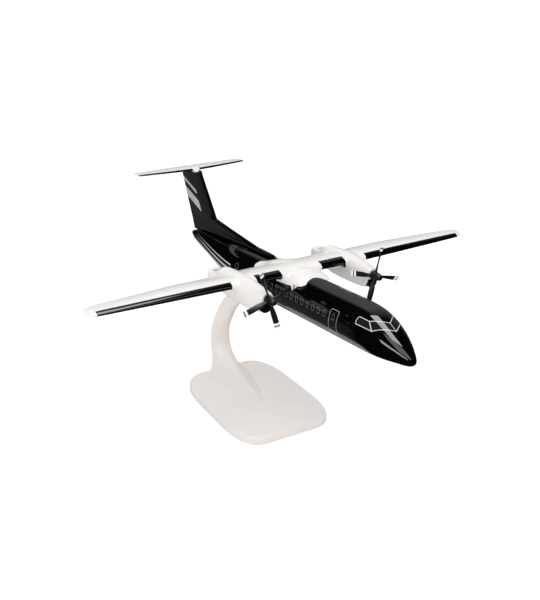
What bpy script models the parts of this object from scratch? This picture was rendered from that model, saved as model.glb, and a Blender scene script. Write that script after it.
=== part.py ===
# Desk model of a high wing airliner with two propellers, on its display stand.
# Metres, +Z up. The nose points along -Y and the aircraft's left wing along +X.
# The origin is the middle of the stand's underside.
import math

import bpy
import bmesh
from mathutils import Matrix, Vector

MM = 0.001
GAP = 0.3 * MM                      # clearance between pieces that touch

# Stand
BASE_LENGTH = 96.4 * MM
BASE_FRONT_WIDTH = 73.4 * MM
BASE_REAR_WIDTH = 70.4 * MM
BASE_CORNER_ALONG = 32.0 * MM       # how far each corner's curve reaches along a side
BASE_CORNER_ACROSS = 18.0 * MM      # and along the front or the rear
BASE_CORNER_STEPS = 8
BASE_THICKNESS = 5.2 * MM
BASE_TOP_ROUND = 1.4 * MM
BASE_SHOULDER = 0.42 * MM           # how far in and down the middle of that rounding lies
BASE_FOOT_ROUND = 0.6 * MM
ARM_SIDES = 24

# Where the airframe sits. Its own frame has Y running aft from the nose and Z above the fuselage axis
PITCH = math.radians(6.0)           # nose up on the stand
NOSE_AHEAD = 157.1 * MM             # where its aft distances start, ahead of the base's middle
AXIS_HEIGHT = 116.2 * MM            # fuselage axis above the floor, at that place

BODY_SIDES = 28
AEROFOIL_STEPS = 9
WING_LEADING_Y = 106.7 * MM
WING_CHORD = 24.8 * MM
WING_LEADING_Z = 14.1 * MM
WING_TRAILING_Z = 13.05 * MM
WING_THICKNESS = 0.21               # of the chord
WING_CAMBER = 0.018                 # of the chord

NACELLE_X = 38.0 * MM
NACELLE_SIDES = 24
NACELLE_FRONT_Y = 86.2 * MM
THRUST_Z = 10.2 * MM
PROP_Y = 84.1 * MM
PROP_PHASE = math.radians(16.3)      # how far the blades are turned from upright
BLADES = 4
BLADE_SIDES = 10
SPINNER_SIDES = 20
PIN_RADIUS = 0.8 * MM
PIN_TIP_RADIUS = 0.56 * MM
PIN_TIP_Y = 81.6 * MM
PIN_TIP_LENGTH = 0.3 * MM           # how much of the pin is tapered
BORE_RADIUS = 0.95 * MM
BORE_PAST_PIN = 0.5 * MM            # how far the bore goes on beyond the pin's tip

TAIL_Z = 54.2 * MM
TAIL_THICKNESS = 0.13               # of the chord
TAIL_STEPS = 7
SADDLE_STEPS = 16
BULLET_SIDES = 16

# Fuselage sections: distance aft, centre height, half width, half height, in millimetres
FUSELAGE_SECTIONS = (
    (1.4, -8.35, 1.44, 1.42),
    (3.2, -8.0, 3.06, 2.95),
    (6.2, -7.08, 4.86, 4.54),
    (9.5, -6.0, 6.52, 5.92),
    (13.4, -4.9, 8.18, 7.41),
    (17.3, -3.9, 9.64, 8.8),
    (21.2, -3.0, 10.8, 10.09),
    (25.1, -2.2, 11.75, 11.17),
    (30.0, -1.32, 12.6, 12.2),
    (36.0, -0.55, 13.2, 12.98),
    (44.0, -0.1, 13.5, 13.45),
    (52.0, 0.0, 13.55, 13.55),
    (172.0, 0.0, 13.55, 13.55),
    (180.0, 0.5, 13.3, 13.0),
    (190.0, 1.5, 12.4, 11.8),
    (200.0, 2.6, 11.1, 10.1),
    (217.0, 4.3, 8.4, 7.9),
    (235.0, 5.6, 5.2, 5.6),
    (246.0, 6.1, 2.8, 3.1),
    (250.6, 6.2, 1.2, 1.4),
)
NOSE_TIP = (0.95, -8.45)            # distance aft and height, in millimetres
TAIL_TIP = (251.6, 6.2)

# Nacelle sections behind the shaft pin: distance aft, centre height, half width, half height,
# how boxy, from 1 for an oval down to 0.5 for nearly square, and how far it stands out from the shaft
NACELLE_SECTIONS = (
    (86.2, 9.8, 3.9, 4.1, 1.0, 0.0),
    (87.2, 9.2, 4.7, 5.2, 0.95, 0.0),
    (89.5, 8.4, 5.3, 6.4, 0.9, 0.1),
    (94.0, 8.1, 5.8, 7.4, 0.85, 0.3),
    (101.0, 8.3, 6.1, 8.1, 0.82, 0.5),
    (110.0, 8.8, 6.2, 8.7, 0.8, 0.7),
    (122.0, 9.2, 6.2, 8.7, 0.8, 0.8),
    (129.0, 9.4, 6.1, 8.4, 0.85, 0.9),
    (133.0, 9.7, 5.9, 8.0, 0.9, 1.0),
    (136.5, 9.5, 5.5, 6.8, 0.85, 1.0),
    (140.0, 9.0, 5.1, 5.1, 0.7, 1.1),
    (143.5, 8.9, 4.7, 4.3, 0.6, 1.1),
    (148.2, 8.9, 4.3, 4.4, 0.55, 1.1),
    (148.7, 8.9, 4.1, 4.2, 0.55, 1.1),
)

# Wing stations: distance out, leading edge swept back, trailing edge swept forward, thickness scale,
# leading edge dropped, trailing edge raised
WING_STATIONS = (
    (0.0, 0.0, 0.0, 1.0, 0.0, 0.65),
    (32.5, 0.0, 0.0, 1.0, 0.0, 0.65),
    (39.4, 0.0, 0.0, 1.0, 0.0, 0.0),
    (75.0, 2.2, 0.2, 0.97, 0.5, 0.5),
    (104.0, 3.9, 3.6, 0.93, 0.9, 0.92),
    (127.0, 5.3, 6.6, 0.9, 1.22, 1.25),
    (131.5, 5.9, 7.5, 0.88, 1.28, 1.32),
    (134.4, 7.1, 8.8, 0.8, 1.32, 1.36),
    (136.3, 8.9, 10.2, 0.66, 1.35, 1.39),
    (137.2, 10.6, 11.6, 0.45, 1.36, 1.4),
)

# Wing saddle over the fuselage: distance aft, lower edge height, half width, rise
SADDLE_SECTIONS = (
    (92.0, 11.0, 9.9, 0.8),
    (92.7, 10.6, 10.7, 1.7),
    (94.4, 10.3, 11.5, 3.2),
    (95.6, 10.1, 12.1, 3.8),
    (97.4, 9.9, 12.8, 4.7),
    (100.5, 9.6, 13.4, 5.6),
    (106.0, 9.3, 13.8, 6.7),
    (116.0, 9.0, 14.0, 7.6),
    (130.0, 8.8, 13.8, 7.1),
    (136.0, 8.6, 13.4, 5.9),
    (139.0, 8.6, 12.9, 5.05),
    (143.0, 8.7, 12.1, 4.25),
    (145.6, 9.2, 11.1, 3.4),
    (146.4, 9.8, 10.3, 2.5),
)

# Tailplane stations: distance out, leading edge, trailing edge, thickness scale
TAIL_STATIONS = (
    (0.0, 240.6, 257.6, 1.0),
    (14.0, 241.9, 257.3, 1.0),
    (38.0, 245.2, 256.6, 1.0),
    (41.2, 245.9, 256.2, 0.95),
    (42.2, 247.2, 255.6, 0.8),
    (42.8, 249.4, 254.0, 0.55),
)
# Fairing at the top of the fin: distance aft, centre height, half width, half height
BULLET_SECTIONS = (
    (238.0, 53.4, 0.4, 0.4),
    (239.0, 53.4, 1.0, 1.0),
    (241.0, 53.5, 1.5, 1.6),
    (246.0, 53.6, 1.6, 1.7),
    (255.5, 53.9, 1.2, 1.3),
    (259.0, 54.0, 0.4, 0.5),
)

# Fin sections: height, leading edge, trailing edge, thickness; the last two are its raised front corner
FIN_SECTIONS = (
    (6.6, 140.4, 246.2, 2.4),
    (14.3, 140.4, 249.2, 2.4),
    (14.8, 136.9, 249.4, 3.0),
    (15.9, 137.0, 249.7, 2.9),
    (16.3, 138.4, 249.8, 2.8),
    (16.7, 155.6, 249.9, 2.4),
    (18.3, 169.4, 250.7, 2.4),
    (21.5, 195.2, 252.0, 2.5),
    (24.0, 213.3, 253.0, 2.6),
    (38.0, 222.5, 258.7, 2.3),
    (52.7, 232.3, 264.5, 2.0),
    (52.8, 232.4, 237.6, 1.9),
    (54.4, 233.7, 237.3, 1.4),
)

# Arm sections from the foot up: height above the base, middle along Y, forward reach, rear reach,
# half width, lean forward in degrees, and how pointed the forward end is
ARM_SECTIONS = (
    (0.3, 43.5, 52.6, 4.2, 14.0, 0.0, 1.0),
    (0.9, 43.8, 49.0, 4.2, 13.0, 0.0, 1.0),
    (2.2, 44.4, 42.5, 4.4, 11.4, 0.0, 1.0),
    (4.2, 45.3, 34.0, 4.6, 9.8, 0.0, 0.95),
    (6.8, 46.7, 25.0, 4.8, 8.6, 0.0, 0.8),
    (10.2, 48.1, 16.0, 4.9, 7.8, 0.0, 0.5),
    (14.2, 49.7, 9.8, 4.9, 7.4, -2.0, 0.2),
    (19.0, 51.1, 6.6, 4.9, 7.3, -4.0, 0.0),
    (25.0, 51.4, 5.2, 4.9, 7.2, 2.0, 0.0),
    (33.0, 50.2, 4.9, 4.9, 7.0, 10.0, 0.0),
    (41.0, 46.8, 4.9, 4.9, 6.9, 20.0, 0.0),
    (49.0, 42.3, 4.9, 4.9, 6.8, 28.0, 0.0),
    (57.0, 36.4, 4.9, 4.9, 6.8, 35.0, 0.0),
    (65.0, 28.9, 5.4, 5.0, 6.8, 38.0, 0.1),
    (71.0, 22.3, 8.0, 5.6, 6.9, 26.0, 0.4),
    (74.6, 18.2, 15.0, 7.0, 7.0, 8.0, 0.7),
    (76.4, 15.8, 28.0, 9.0, 7.1, -4.0, 0.9),
    (77.6, 14.8, 40.0, 11.0, 7.2, -6.0, 1.0),
    (79.2, 14.4, 48.5, 13.0, 7.4, -6.0, 1.0),
    (83.4, 14.4, 51.0, 14.0, 7.8, -6.0, 1.0),
)

EXHAUST = {"x": 39.1 * MM, "y": 144.9 * MM, "z": 12.8 * MM, "half_size": (2.6 * MM, 3.0 * MM),
           "depth": 1.6 * MM, "tilt": math.radians(-6.0)}
INTAKE = {"x": 38.3 * MM, "y": 87.0 * MM, "z": 4.55 * MM, "half_size": (3.5 * MM, 3.0 * MM),
          "depth": 3.0 * MM, "tilt": math.radians(100.0)}

# Blade sections: distance from the hub's middle, chord, thickness, pitch in degrees
BLADE_SECTIONS = (
    (1.9, 2.2, 1.5, 66.0),
    (4.0, 2.6, 1.3, 62.0),
    (7.0, 3.3, 1.0, 52.0),
    (11.5, 3.5, 0.8, 38.0),
    (16.5, 3.6, 0.7, 24.0),
    (18.5, 3.4, 0.6, 20.0),
    (19.1, 3.0, 0.5, 19.0),
)
# Spinner and the plate behind the blades: distance aft, radius
SPINNER_PROFILE = ((78.0, 0.5), (78.3, 1.2), (79.0, 1.8), (80.2, 2.2), (82.0, 2.45), (84.8, 2.6),
                   (84.9, 2.75), (85.8, 2.85))


def clear_scene():
    for obj in list(bpy.data.objects):
        bpy.data.objects.remove(obj, do_unlink=True)


def make_material(name, color, roughness):
    material = bpy.data.materials.new(name)
    material.use_nodes = True
    shader = material.node_tree.nodes["Principled BSDF"]
    shader.inputs["Base Color"].default_value = (*color, 1.0)
    shader.inputs["Roughness"].default_value = roughness
    shader.inputs["Metallic"].default_value = 0.0
    return material


def make_object(name, bm, material, collection, parent=None):
    bmesh.ops.recalc_face_normals(bm, faces=bm.faces)
    mesh = bpy.data.meshes.new(name)
    bm.to_mesh(mesh)
    bm.free()
    mesh.materials.append(material)
    mesh.shade_smooth()
    mesh.set_sharp_from_angle(angle=math.radians(35.0))
    obj = bpy.data.objects.new(name, mesh)
    collection.objects.link(obj)
    obj.parent = parent
    return obj


def combine(obj, other, operation):
    """Cut or join with another object, which stays as a hidden guide."""
    modifier = obj.modifiers.new(other.name, "BOOLEAN")
    modifier.operation = operation
    modifier.solver = "EXACT"
    modifier.object = other
    other.hide_render = True
    other.display_type = "WIRE"


def loft(bm, rings, front_point=None, rear_point=None):
    """Skin a row of sections with the same number of points, closed by flat ends or by points."""
    loops = [[bm.verts.new(point) for point in ring] for ring in rings]
    count = len(loops[0])
    for near, far in zip(loops, loops[1:]):
        for i in range(count):
            j = (i + 1) % count
            bm.faces.new((near[i], near[j], far[j], far[i]))
    for ring, point in ((loops[0], front_point), (loops[-1], rear_point)):
        if point is None:
            bm.faces.new(ring)
            continue
        tip = bm.verts.new(point)
        for i in range(count):
            bm.faces.new((ring[i], ring[(i + 1) % count], tip))
    bmesh.ops.triangulate(bm, faces=[face for face in bm.faces if len(face.verts) > 4])


def oval(y, z, half_width, half_height, sides, x=0.0):
    angles = [2.0 * math.pi * i / sides for i in range(sides)]
    return [Vector((x + half_width * math.sin(a), y, z + half_height * math.cos(a))) for a in angles]


def oval_rings(sections, sides, grow=0.0, x=0.0):
    rings = []
    for y, z, half_width, half_height in sections:
        rings.append(oval(y * MM, z * MM, half_width * MM + grow, half_height * MM + grow, sides, x))
    return rings


def boxy_ring(y, z, half_width, half_height, boxy, x):
    """A nacelle section in millimetres about x: an oval whose corners fill out as boxy falls."""
    ring = []
    for i in range(NACELLE_SIDES):
        a = 2.0 * math.pi * i / NACELLE_SIDES
        across = math.copysign(half_width * abs(math.sin(a)) ** boxy, math.sin(a))
        up = math.copysign(half_height * abs(math.cos(a)) ** boxy, math.cos(a))
        ring.append(Vector((x + across * MM, y * MM, (z + up) * MM)))
    return ring


def aerofoil_profile(chord, thickness, camber, steps):
    """Outline of a blunt moulded aerofoil from its leading edge, as along and up pairs."""
    upper = []
    lower = []
    for i in range(steps + 1):
        u = 0.5 - 0.5 * math.cos(math.pi * i / steps)
        half = 5.0 * thickness * chord * (0.2969 * math.sqrt(u) - 0.126 * u - 0.3516 * u ** 2
                                          + 0.2843 * u ** 3 - 0.085 * u ** 4)
        rise = camber * chord * math.sin(math.pi * u)
        upper.append((u * chord, rise + half))
        lower.append((u * chord, rise - half))
    return upper + list(reversed(lower[1:]))


def wing_rings(stations, leading, chord, leading_z, trailing_z, thickness, camber, grow=0.0,
               steps=AEROFOIL_STEPS):
    """Aerofoil sections from tip to tip, with all lengths but the stations in metres."""
    rings = []
    mirrored = [(-station[0], *station[1:]) for station in reversed(stations[1:])]
    for out, back, forward, scale, drop, rise in mirrored + list(stations):
        at_chord = chord - (back + forward) * MM
        front = leading_z - drop * MM
        slope = (trailing_z + rise * MM - front) / at_chord
        outline = aerofoil_profile(at_chord, thickness * scale, camber, steps)
        ring = []
        for along, up in outline:
            if grow:
                along = at_chord / 2 + (along - at_chord / 2) * (1.0 + 2.0 * grow / at_chord)
                up += math.copysign(grow, up)
            ring.append(Vector((out * MM, leading + back * MM + along, front + up + slope * along)))
        rings.append(ring)
    return rings


def main_wing_rings(grow=0.0):
    return wing_rings(WING_STATIONS, WING_LEADING_Y, WING_CHORD, WING_LEADING_Z, WING_TRAILING_Z,
                      WING_THICKNESS, WING_CAMBER, grow)


def base_outline(inset):
    corners = []
    for x_side, y_side, width in ((1, 1, BASE_REAR_WIDTH), (-1, 1, BASE_REAR_WIDTH),
                                  (-1, -1, BASE_FRONT_WIDTH), (1, -1, BASE_FRONT_WIDTH)):
        corners.append(Vector((x_side * (width / 2 - inset), y_side * (BASE_LENGTH / 2 - inset), 0.0)))
    points = []
    for i, corner in enumerate(corners):
        before, after = (BASE_CORNER_ALONG, BASE_CORNER_ACROSS) if i % 2 == 0 else (
            BASE_CORNER_ACROSS, BASE_CORNER_ALONG)
        start = corner + (corners[i - 1] - corner).normalized() * before
        end = corner + (corners[(i + 1) % 4] - corner).normalized() * after
        for k in range(BASE_CORNER_STEPS + 1):
            t = k / BASE_CORNER_STEPS
            points.append(start * (1 - t) ** 2 + corner * 2 * t * (1 - t) + end * t ** 2)
    return points


def make_base(material, collection):
    steps = ((BASE_FOOT_ROUND, 0.0), (0.0, BASE_FOOT_ROUND), (0.0, BASE_THICKNESS - BASE_TOP_ROUND),
             (BASE_SHOULDER, BASE_THICKNESS - BASE_SHOULDER), (BASE_TOP_ROUND, BASE_THICKNESS))
    bm = bmesh.new()
    loft(bm, [[point + Vector((0.0, 0.0, z)) for point in base_outline(inset)] for inset, z in steps])
    return make_object("stand_base", bm, material, collection)


def arm_ring(height, y, ahead, behind, half_width, lean, pointed):
    lean = math.radians(lean)
    ring = []
    for i in range(ARM_SIDES):
        a = 2.0 * math.pi * i / ARM_SIDES
        forward = math.cos(a)
        reach = ahead if forward > 0.0 else behind
        roundness = 0.5 + 0.42 * pointed * (forward > 0.0)
        across = math.copysign(half_width * max(0.0, 1.0 - forward ** 2) ** roundness, math.sin(a))
        along = -forward * reach
        ring.append(Vector((across, y + along * math.cos(lean), height + along * math.sin(lean))) * MM)
    return [point + Vector((0.0, 0.0, BASE_THICKNESS)) for point in ring]


def make_arm(material, collection, fuselage_guide):
    bm = bmesh.new()
    loft(bm, [arm_ring(*section) for section in ARM_SECTIONS])
    bmesh.ops.remove_doubles(bm, verts=bm.verts, dist=0.01 * MM)
    arm = make_object("stand_arm", bm, material, collection)
    combine(arm, fuselage_guide, "DIFFERENCE")
    return arm


def make_fuselage(name, material, collection, airframe, grow=0.0):
    bm = bmesh.new()
    nose = Vector((0.0, NOSE_TIP[0] * MM - grow, NOSE_TIP[1] * MM))
    tail = Vector((0.0, TAIL_TIP[0] * MM + grow, TAIL_TIP[1] * MM))
    loft(bm, oval_rings(FUSELAGE_SECTIONS, BODY_SIDES, grow), nose, tail)
    return make_object(name, bm, material, collection, airframe)


def make_wing(material, collection, guides, airframe, fuselage_guide):
    bm = bmesh.new()
    loft(bm, main_wing_rings())
    wing = make_object("wing", bm, material, collection, airframe)
    bm = bmesh.new()
    rings = []
    for y, low, half_width, rise in SADDLE_SECTIONS:
        angles = [math.pi * (i / SADDLE_STEPS - 0.5) for i in range(SADDLE_STEPS + 1)]
        rings.append([Vector((half_width * math.sin(a), y, low + rise * math.cos(a))) * MM for a in angles])
    loft(bm, rings)
    saddle = make_object("saddle_guide", bm, material, guides, airframe)
    combine(wing, saddle, "UNION")
    combine(wing, fuselage_guide, "DIFFERENCE")
    return wing


def make_bullet(name, material, guides, airframe, grow=0.0):
    bm = bmesh.new()
    loft(bm, oval_rings(BULLET_SECTIONS, BULLET_SIDES, grow))
    return make_object(name, bm, material, guides, airframe)


def make_fin(material, collection, guides, airframe, fuselage_guide, wing_guide):
    bm = bmesh.new()
    rings = []
    for z, leading, trailing, thickness in FIN_SECTIONS:
        chord = trailing - leading
        outline = aerofoil_profile(chord, thickness / chord, 0.0, AEROFOIL_STEPS)
        rings.append([Vector((up, leading + along, z)) * MM for along, up in outline])
    loft(bm, rings)
    fin = make_object("fin", bm, material, collection, airframe)
    combine(fin, fuselage_guide, "DIFFERENCE")
    combine(fin, wing_guide, "DIFFERENCE")
    combine(fin, make_bullet("bullet_groove", material, guides, airframe, GAP), "DIFFERENCE")
    return fin


def make_tailplane(material, collection, guides, airframe):
    root_leading = TAIL_STATIONS[0][1]
    root_trailing = TAIL_STATIONS[0][2]
    stations = [(out, leading - root_leading, root_trailing - trailing, scale, 0.0, 0.0)
                for out, leading, trailing, scale in TAIL_STATIONS]
    chord = (root_trailing - root_leading) * MM
    bm = bmesh.new()
    loft(bm, wing_rings(stations, root_leading * MM, chord, TAIL_Z, TAIL_Z, TAIL_THICKNESS, 0.0,
                        steps=TAIL_STEPS))
    tailplane = make_object("tailplane", bm, material, collection, airframe)
    combine(tailplane, make_bullet("bullet_guide", material, guides, airframe), "UNION")
    return tailplane


def turned(bm, x, z, profile, sides):
    """A round piece on an axis along Y, from pairs of distance aft and radius in metres."""
    loft(bm, [oval(y, z, radius, radius, sides, x) for y, radius in profile])


def oval_plug(name, side, place, material, collection, airframe, grow=0.0):
    """An upright oval plug whose top is at the given height, tipped about the X axis."""
    bm = bmesh.new()
    made = bmesh.ops.create_cone(bm, cap_ends=True, segments=20, radius1=1.0, radius2=1.0, depth=1.0)
    half_size = place["half_size"]
    size = Vector((half_size[0] + grow, half_size[1] + grow, place["depth"] + 2.0 * grow))
    bmesh.ops.translate(bm, verts=made["verts"], vec=(0.0, 0.0, -0.5))
    bmesh.ops.scale(bm, verts=made["verts"], vec=size)
    bmesh.ops.translate(bm, verts=made["verts"], vec=(0.0, 0.0, grow))
    bmesh.ops.rotate(bm, verts=made["verts"], cent=(0.0, 0.0, 0.0),
                     matrix=Matrix.Rotation(place["tilt"], 3, "X"))
    bmesh.ops.translate(bm, verts=made["verts"], vec=(side * place["x"], place["y"], place["z"]))
    return make_object(name, bm, material, collection, airframe)


def make_nacelle(label, side, materials, collection, guides, airframe, wing_guide):
    x = side * NACELLE_X
    pin = [oval(y, THRUST_Z, radius, radius, NACELLE_SIDES, x) for y, radius in
           ((PIN_TIP_Y, PIN_TIP_RADIUS), (PIN_TIP_Y + PIN_TIP_LENGTH, PIN_RADIUS),
            (NACELLE_FRONT_Y, PIN_RADIUS))]
    bm = bmesh.new()
    loft(bm, pin + [boxy_ring(*section[:5], x + side * section[5] * MM) for section in NACELLE_SECTIONS])
    nacelle = make_object("nacelle_" + label, bm, materials["white"], collection, airframe)
    combine(nacelle, wing_guide, "DIFFERENCE")
    for piece, place in (("exhaust", EXHAUST), ("intake", INTAKE)):
        pocket = oval_plug(piece + "_pocket_" + label, side, place, materials["dark"], guides, airframe, GAP)
        combine(nacelle, pocket, "DIFFERENCE")
        oval_plug(piece + "_" + label, side, place, materials["dark"], collection, airframe)
    return nacelle


def make_propeller(label, side, material, collection, guides, airframe):
    """A propeller whose object origin is the middle of its disc, on the shaft."""
    hub = Vector((side * NACELLE_X, PROP_Y, THRUST_Z))
    bm = bmesh.new()
    turned(bm, 0.0, 0.0, [(y * MM - PROP_Y, radius * MM) for y, radius in SPINNER_PROFILE],
           SPINNER_SIDES)
    propeller = make_object("propeller_" + label, bm, material, collection, airframe)
    propeller.location = hub
    bm = bmesh.new()
    for k in range(BLADES):
        turn = Matrix.Rotation(side * PROP_PHASE - 2.0 * math.pi * k / BLADES, 3, "Y")
        rings = []
        for radius, chord, thickness, pitch in BLADE_SECTIONS:
            pitch = math.radians(pitch)
            ring = []
            for i in range(BLADE_SIDES):
                a = 2.0 * math.pi * i / BLADE_SIDES
                along = chord / 2 * math.cos(a)
                across = thickness / 2 * math.sin(a)
                ring.append(turn @ Vector((along * math.cos(pitch) - across * math.sin(pitch),
                                           along * math.sin(pitch) + across * math.cos(pitch),
                                           radius)) * MM)
            rings.append(ring)
        loft(bm, rings)
    blades = make_object("blades_guide_" + label, bm, material, guides, airframe)
    blades.location = hub
    bm = bmesh.new()
    bore_ends = (PIN_TIP_Y - BORE_PAST_PIN - PROP_Y, NACELLE_FRONT_Y - PROP_Y)
    turned(bm, 0.0, 0.0, [(y, BORE_RADIUS) for y in bore_ends], SPINNER_SIDES)
    bore = make_object("bore_guide_" + label, bm, material, guides, airframe)
    bore.location = hub
    combine(propeller, blades, "UNION")
    combine(propeller, bore, "DIFFERENCE")
    return propeller


def main():
    clear_scene()
    collection = bpy.data.collections.new("desk_model_airliner")
    guides = bpy.data.collections.new("cutters")
    for group in (collection, guides):
        bpy.context.scene.collection.children.link(group)
    materials = {
        "black": make_material("gloss_black", (0.012, 0.012, 0.014), 0.12),
        "white": make_material("gloss_white", (0.80, 0.78, 0.74), 0.25),
        "stand": make_material("stand_white", (0.78, 0.75, 0.71), 0.38),
        "propeller": make_material("satin_black", (0.02, 0.02, 0.022), 0.35),
        "dark": make_material("opening_black", (0.01, 0.01, 0.01), 0.6),
    }
    airframe = bpy.data.objects.new("airframe", None)
    airframe.location = (0.0, -NOSE_AHEAD, AXIS_HEIGHT)
    airframe.rotation_euler = (-PITCH, 0.0, 0.0)
    collection.objects.link(airframe)

    fuselage_guide = make_fuselage("fuselage_guide", materials["black"], guides, airframe, GAP)
    bm = bmesh.new()
    loft(bm, main_wing_rings(GAP))
    wing_guide = make_object("wing_guide", bm, materials["white"], guides, airframe)

    make_base(materials["stand"], collection)
    make_arm(materials["stand"], collection, fuselage_guide)
    make_fuselage("fuselage", materials["black"], collection, airframe)
    make_wing(materials["white"], collection, guides, airframe, fuselage_guide)
    make_fin(materials["black"], collection, guides, airframe, fuselage_guide, wing_guide)
    make_tailplane(materials["white"], collection, guides, airframe)
    for label, side in (("left", 1), ("right", -1)):
        make_nacelle(label, side, materials, collection, guides, airframe, wing_guide)
        make_propeller(label, side, materials["propeller"], collection, guides, airframe)


main()
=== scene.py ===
# Looks of a desk model of a high wing airliner with two propellers, on its display stand.
# The airframe's own frame has Y running aft from the nose tip and Z above the fuselage axis.
# Lengths in the tables are millimetres, in that frame for the airframe and in the floor's for the stand.
import math

import bmesh
import bpy
import numpy as np
from mathutils import Matrix, Vector
from mathutils.bvhtree import BVHTree


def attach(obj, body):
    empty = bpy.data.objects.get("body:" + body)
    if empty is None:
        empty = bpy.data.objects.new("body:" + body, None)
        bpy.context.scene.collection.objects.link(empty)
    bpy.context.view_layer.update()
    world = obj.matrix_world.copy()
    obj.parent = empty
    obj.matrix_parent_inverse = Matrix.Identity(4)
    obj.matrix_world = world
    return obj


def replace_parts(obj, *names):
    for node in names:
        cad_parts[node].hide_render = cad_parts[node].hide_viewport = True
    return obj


MM = 0.001
WELD = 0.0005                       # points nearer to each other than this become one

PITCH = math.radians(6.0)           # nose up on the stand
NOSE_AHEAD = 157.1 * MM             # where its aft distances start, ahead of the base's middle
AXIS_HEIGHT = 116.2 * MM            # fuselage axis above the floor, at that place
AIRFRAME = Matrix.Translation((0.0, -NOSE_AHEAD, AXIS_HEIGHT)) @ Matrix.Rotation(-PITCH, 4, "X")
FLOOR = Matrix.Identity(4)

# Camera, measured in the airframe's frame
CAMERA_AZIMUTH = math.radians(-31.52)
CAMERA_ELEVATION = math.radians(20.04)
CAMERA_ROLL = math.radians(-1.36)
CAMERA_DISTANCE = 588.2 * MM
CAMERA_TARGET = Vector((0.0, 120.0, 0.0)) * MM
CAMERA_OFFSET = Vector((-13.12, -7.69, 0.0)) * MM
CAMERA_LENS = 56.47
CAMERA_SENSOR = 36.0

# Stand
BASE_LENGTH = 96.4
BASE_FRONT_WIDTH = 73.4
BASE_REAR_WIDTH = 70.4
BASE_CORNER_ALONG = 32.0
BASE_CORNER_ACROSS = 18.0
BASE_CORNER_STEPS = 18
BASE_THICKNESS = 5.2
BASE_TOP_ROUND = 1.4
BASE_FOOT_ROUND = 0.6
ROUND_STEPS = 5
ARM_SIDES = 56
ARM_RINGS = 90
ARM_POINT = 0.42                    # how much a fully pointed end departs from a round one

BODY_SIDES = 112
BODY_RINGS = 190
AEROFOIL_STEPS = 22
# Half thickness of an aerofoil, as multiples of the square root and of the first four powers of the place
AEROFOIL_CURVE = (0.2969, -0.126, -0.3516, 0.2843, -0.085)
WING_STEP = 1.2                     # between ribs
WING_LEADING_Y = 106.7
WING_CHORD = 24.8
WING_LEADING_Z = 13.8
WING_TRAILING_Z = 13.05
WING_THICKNESS = 0.235              # of the chord
WING_CAMBER = 0.018                 # of the chord

NACELLE_X = 38.0
NACELLE_SIDES = 56
NACELLE_RINGS = 60
THRUST_Z = 10.2
PROP_Y = 84.1
PROP_PHASE = math.radians(16.3)
BLADES = 4
BLADE_SIDES = 24
BLADE_RINGS = 26
SPINNER_SIDES = 48

TAIL_Z = 54.2
TAIL_THICKNESS = 0.13               # of the chord
TAIL_STEP = 1.5
FIN_STEP = 4.0
BULLET_SIDES = 32
BULLET_RINGS = 30
SADDLE_STEPS = 48
SADDLE_RINGS = 60

# Fuselage sections: distance aft, centre height, half width, half height
FUSELAGE_SECTIONS = (
    (0.95, -8.45, 0.05, 0.05),
    (1.08, -8.42, 0.72, 0.71),
    (1.4, -8.35, 1.44, 1.42),
    (3.2, -8.0, 3.06, 2.95),
    (6.2, -7.08, 4.86, 4.54),
    (9.5, -6.0, 6.52, 5.92),
    (13.4, -4.9, 8.18, 7.41),
    (17.3, -3.9, 9.64, 8.8),
    (21.2, -3.0, 10.8, 10.09),
    (25.1, -2.2, 11.75, 11.17),
    (30.0, -1.32, 12.6, 12.2),
    (36.0, -0.55, 13.2, 12.98),
    (44.0, -0.1, 13.5, 13.45),
    (52.0, 0.0, 13.55, 13.55),
    (62.0, 0.0, 13.55, 13.55),
    (80.0, 0.0, 13.55, 13.55),
    (110.0, 0.0, 13.55, 13.55),
    (140.0, 0.0, 13.55, 13.55),
    (160.0, 0.0, 13.55, 13.55),
    (170.0, 0.0, 13.55, 13.55),
    (180.0, 0.5, 13.3, 13.0),
    (190.0, 1.5, 12.4, 11.8),
    (200.0, 2.6, 11.1, 10.1),
    (217.0, 4.3, 8.4, 7.9),
    (235.0, 5.6, 5.2, 5.6),
    (246.0, 6.1, 2.8, 3.1),
    (250.0, 6.2, 1.4, 1.6),
    (251.3, 6.2, 0.7, 0.8),
    (251.6, 6.2, 0.05, 0.05),
)

# Nacelle sections: distance aft, centre height, half width, half height,
# how boxy, from 1 for an oval down to 0.5 for nearly square, and how far it stands out from the shaft
NACELLE_SECTIONS = (
    (86.2, 9.8, 3.9, 4.1, 1.0, 0.0),
    (87.2, 9.2, 4.7, 5.2, 0.95, 0.0),
    (89.5, 8.4, 5.3, 6.4, 0.9, 0.1),
    (94.0, 8.1, 5.8, 7.4, 0.85, 0.3),
    (101.0, 8.3, 6.1, 8.1, 0.82, 0.5),
    (110.0, 8.8, 6.2, 8.7, 0.8, 0.7),
    (122.0, 9.2, 6.2, 8.7, 0.8, 0.8),
    (129.0, 9.4, 6.1, 8.4, 0.85, 0.9),
    (133.0, 9.7, 5.9, 8.0, 0.9, 1.0),
    (136.5, 9.5, 5.5, 6.8, 0.85, 1.0),
    (140.0, 9.0, 5.1, 5.1, 0.7, 1.1),
    (143.5, 8.9, 4.7, 4.3, 0.5, 1.1),
    (148.2, 8.9, 4.3, 4.4, 0.4, 1.1),
    (148.7, 8.9, 4.2, 4.3, 0.4, 1.1),
)

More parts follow.
